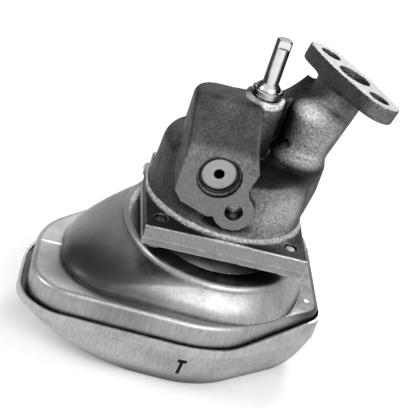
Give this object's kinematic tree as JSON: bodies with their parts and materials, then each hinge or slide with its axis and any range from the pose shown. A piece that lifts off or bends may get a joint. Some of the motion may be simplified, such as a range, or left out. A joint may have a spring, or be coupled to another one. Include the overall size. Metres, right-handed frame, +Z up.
{
  "type": "engine oil pump",
  "caption": "Cast oil pump with a rotor set, relief valve, bolted outlet neck and drive spindle, on a stamped strainer hood and pan.",
  "frame": {"origin": "on the drive shaft's axis, where the slim spindle starts above the shaft's collar", "axes": "+Z up along the drive spindle, -Y out of the relief valve's machined face, +X towards the outlet neck"},
  "size_m": [0.1576, 0.14, 0.166],
  "materials": {
    "cast_iron": "as cast, oiled",
    "plain_steel": "rolled",
    "stamped_steel": "drawn, satin",
    "bright_steel": "ground",
    "sintered_steel": "sintered and lapped",
    "bronze": "bored",
    "wire_gauze": "woven",
    "gasket_paper": "matt"
  },
  "bodies": {
    "housing": {"pump_body": "cast_iron", "cover_plate": "plain_steel", "cover_screws": "plain_steel", "screw_washers": "plain_steel", "lower_bush": "bronze", "upper_bush": "bronze", "relief_cap": "bright_steel", "retaining_ring": "plain_steel", "relief_spring": "plain_steel", "gallery_plug": "bright_steel", "suction_sleeve": "plain_steel", "hood_gasket": "gasket_paper", "pickup_hood": "stamped_steel", "screen_frame": "plain_steel", "strainer_screen": "wire_gauze", "strainer_pan": "stamped_steel"},
    "rotor": {"drive_shaft": "bright_steel", "shaft_collar": "bright_steel", "rotor_pin": "bright_steel", "inner_rotor": "sintered_steel"},
    "rotor_ring": {"outer_rotor": "sintered_steel"},
    "relief_valve": {"relief_plunger": "bright_steel"}
  },
  "joints": [
    {"name": "shaft_turn", "type": "hinge", "parent": "housing", "child": "rotor", "pos_m": [0, 0, 0], "axis": [0, 0, 1], "continuous": true},
    {"name": "ring_turn", "type": "hinge", "parent": "housing", "child": "rotor_ring", "pos_m": [-0.0035, 0, 0], "axis": [0, 0, 1], "continuous": true},
    {"name": "relief_slide", "type": "slide", "parent": "housing", "child": "relief_valve", "axis": [0, -1, 0], "range_m": [0, 0.0065], "stiffness_N_per_m": 6000, "springref_m": -0.003, "deforming": ["relief_spring"]}
  ],
  "couplings": [
    {"joint": "ring_turn", "follows": "shaft_turn", "ratio": 0.8}
  ]
}
